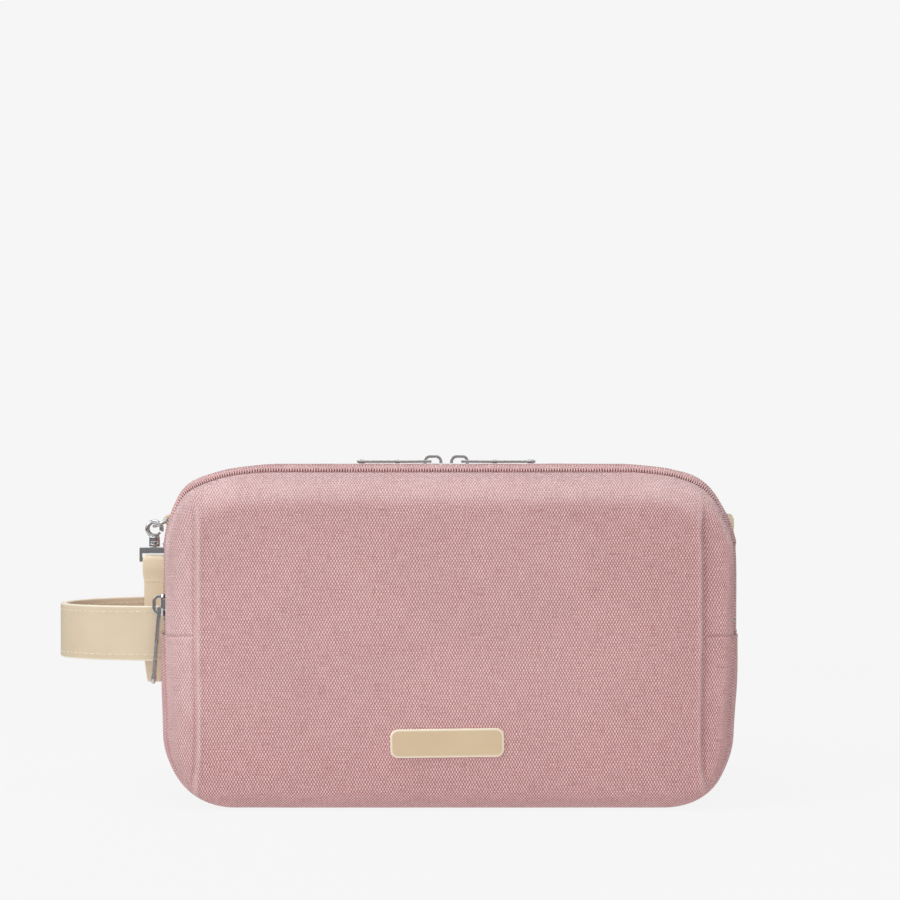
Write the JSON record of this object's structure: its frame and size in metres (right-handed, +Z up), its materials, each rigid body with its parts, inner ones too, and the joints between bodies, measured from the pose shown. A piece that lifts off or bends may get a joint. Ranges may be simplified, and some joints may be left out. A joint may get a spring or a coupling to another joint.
{
  "type": "shaving kit bag",
  "caption": "Padded canvas zip pouch with a leather carry handle on one end, a leather hanging loop on a swivel snap hook, and a front zip pocket.",
  "frame": {"origin": "middle of the flat base, on the surface the bag stands on", "axes": "+Z up, +X to the right seen from the front, -Y the front with the label"},
  "size_m": [0.3042, 0.0962, 0.1527],
  "materials": {
    "canvas": "basket weave",
    "zip_tape": "woven",
    "zip_coil": "satin",
    "nickel": "polished",
    "tan_leather": "smooth",
    "lining_cloth": "plain weave",
    "base_plastic": "matte"
  },
  "bodies": {
    "bag": {"front_panel_lower": "canvas", "back_panel_lower": "canvas", "bottom_gusset": "canvas", "end_panel_left": "canvas", "end_panel_right": "canvas", "middle_strip": "canvas", "front_tape_ends": "zip_tape", "front_tape_rear": "zip_tape", "main_tape_front": "zip_tape", "front_coil_ends": "zip_coil", "front_coil_rear": "zip_coil", "main_coil_front": "zip_coil", "zipper_end_stops": "nickel", "label_patch": "tan_leather", "carry_handle": "tan_leather", "carry_handle_lining": "tan_leather", "ring_tab": "tan_leather", "end_tab": "tan_leather", "divider_panel": "lining_cloth", "main_lining": "lining_cloth", "front_lining": "lining_cloth", "base_board": "base_plastic"},
    "front_flap": {"front_panel_flap": "canvas", "front_tape_flap": "zip_tape", "front_coil_flap": "zip_coil", "front_flap_lining": "lining_cloth"},
    "rear_flap": {"back_panel_flap": "canvas", "rear_strip": "canvas", "main_tape_rear": "zip_tape", "main_coil_rear": "zip_coil", "rear_flap_lining": "lining_cloth"},
    "left_slider": {"main_slider_left": "nickel"},
    "left_pull": {"main_pull_left": "nickel"},
    "right_slider": {"main_slider_right": "nickel"},
    "right_pull": {"main_pull_right": "nickel"},
    "front_slider": {"side_slider": "nickel"},
    "front_pull": {"side_pull": "nickel"},
    "d_ring": {"d_ring": "nickel"},
    "snap_hook": {"snap_hook": "nickel", "gate_pin": "nickel", "gate_spring": "nickel"},
    "hook_gate": {"hook_gate": "nickel"},
    "swivel": {"swivel_ring": "nickel"},
    "hang_loop": {"hang_loop": "tan_leather"}
  },
  "joints": [
    {"name": "front_flap_fold", "type": "hinge", "parent": "bag", "child": "front_flap", "pos_m": [0, -0.0503, 0.094], "axis": [1, 0, 0], "range_deg": [0, 95]},
    {"name": "rear_flap_fold", "type": "hinge", "parent": "bag", "child": "rear_flap", "pos_m": [0, 0.0453, 0.114], "axis": [-1, 0, 0], "range_deg": [0, 60]},
    {"name": "left_slider_run", "type": "slide", "parent": "bag", "child": "left_slider", "axis": [-1, 0, 0], "range_m": [0, 0.07]},
    {"name": "left_pull_lift", "type": "hinge", "parent": "left_slider", "child": "left_pull", "pos_m": [-0.0088, 0.003, 0.1497], "axis": [0, 1, 0], "range_deg": [0, 110]},
    {"name": "right_slider_run", "type": "slide", "parent": "bag", "child": "right_slider", "axis": [1, 0, 0], "range_m": [0, 0.07]},
    {"name": "right_pull_lift", "type": "hinge", "parent": "right_slider", "child": "right_pull", "pos_m": [0.0058, 0.003, 0.1497], "axis": [0, -1, 0], "range_deg": [0, 110]},
    {"name": "front_slider_run", "type": "slide", "parent": "bag", "child": "front_slider", "axis": [0, 0, 1], "range_m": [0, 0.016]},
    {"name": "front_pull_lift", "type": "hinge", "parent": "front_slider", "child": "front_pull", "pos_m": [-0.1262, -0.036, 0.0863], "axis": [0, 1, 0], "range_deg": [0, 110]},
    {"name": "d_ring_swing", "type": "hinge", "parent": "bag", "child": "d_ring", "pos_m": [-0.1268, 0.003, 0.1235], "axis": [0, 1, 0], "range_deg": [0, 10]},
    {"name": "hook_swing", "type": "hinge", "parent": "d_ring", "child": "snap_hook", "pos_m": [-0.13351, 0.003, 0.12037], "axis": [0, 1, 0], "range_deg": [0, 10]},
    {"name": "gate_open", "type": "hinge", "parent": "snap_hook", "child": "hook_gate", "pos_m": [-0.13261, 0.003, 0.11612], "axis": [0, -1, 0], "range_deg": [0, 30], "stiffness_Nm_per_rad": 0.01, "springref_deg": -17.19},
    {"name": "hook_swivel", "type": "hinge", "parent": "snap_hook", "child": "swivel", "pos_m": [-0.13351, 0.003, 0.11327], "axis": [0, 0, 1], "continuous": true},
    {"name": "loop_swing", "type": "hinge", "parent": "swivel", "child": "hang_loop", "pos_m": [-0.13351, 0.003, 0.10537], "axis": [-1, 0, 0], "range_deg": [-12, 12]}
  ]
}
